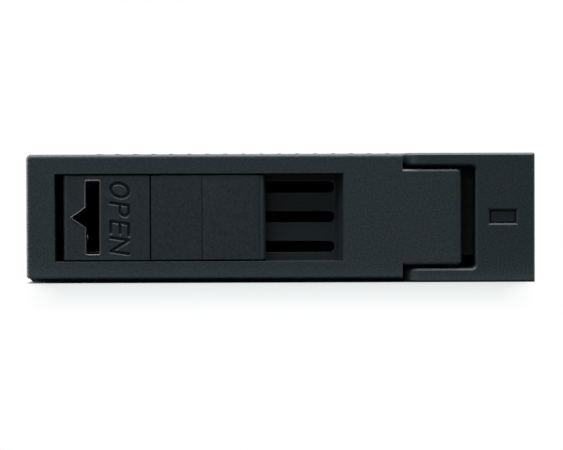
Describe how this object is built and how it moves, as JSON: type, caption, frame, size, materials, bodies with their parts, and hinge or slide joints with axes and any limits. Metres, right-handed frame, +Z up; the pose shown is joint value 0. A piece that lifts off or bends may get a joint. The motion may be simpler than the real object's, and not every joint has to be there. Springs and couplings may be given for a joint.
{
  "type": "drive bay adapter",
  "caption": "Flat plastic adapter with a hinged, latched front door that carries a small drive inside the outline and screw holes of a larger one.",
  "frame": {"origin": "middle of the underside of the 3.5-inch drive outline", "axes": "+X to the right seen from the front door, +Y from the front door to the rear connector, +Z up"},
  "size_m": [0.1016, 0.147, 0.0258],
  "materials": {
    "shell_plastic": "charcoal moulded plastic with a fine spark-eroded grain",
    "door_plastic": "charcoal moulded plastic with a fine spark-eroded grain",
    "latch_plastic": "charcoal moulded plastic, slightly smoother than the shells",
    "smoked_lens": "smoked clear plastic",
    "steel": "bright steel",
    "black_steel": "black zinc",
    "brass": "turned brass",
    "board": "green solder mask on glass-fibre board",
    "connector_plastic": "black moulded plastic",
    "contact_gold": "gold flash on copper strip",
    "lamp": "clear moulded lamp body",
    "resistor": "black film on white ceramic",
    "capacitor": "brown ceramic with tinned ends"
  },
  "bodies": {
    "housing": {"base_shell": "shell_plastic", "top_cover": "shell_plastic", "hinge_pin": "black_steel", "light_pipe": "smoked_lens", "status_led": "lamp", "led_resistor": "resistor", "adapter_board": "board", "drive_socket": "connector_plastic", "drive_socket_contacts": "contact_gold", "host_plug": "connector_plastic", "host_plug_contacts": "contact_gold", "board_capacitors": "capacitor", "board_screws": "steel", "case_screws": "black_steel", "side_inserts": "brass", "bottom_inserts": "brass"},
    "door": {"front_door": "door_plastic", "latch_cover": "latch_plastic", "latch_spring": "steel"},
    "latch": {"latch_slider": "latch_plastic"}
  },
  "joints": [
    {"name": "door_swing", "type": "hinge", "parent": "housing", "child": "door", "pos_m": [0.0342, -0.0692, 0.01305], "axis": [0, 0, 1], "range_deg": [0, 92]},
    {"name": "latch_slide", "type": "slide", "parent": "door", "child": "latch", "axis": [-1, 0, 0], "range_m": [0, 0.0015], "stiffness_N_per_m": 400, "springref_m": -0.002, "deforming": ["latch_spring"]}
  ]
}
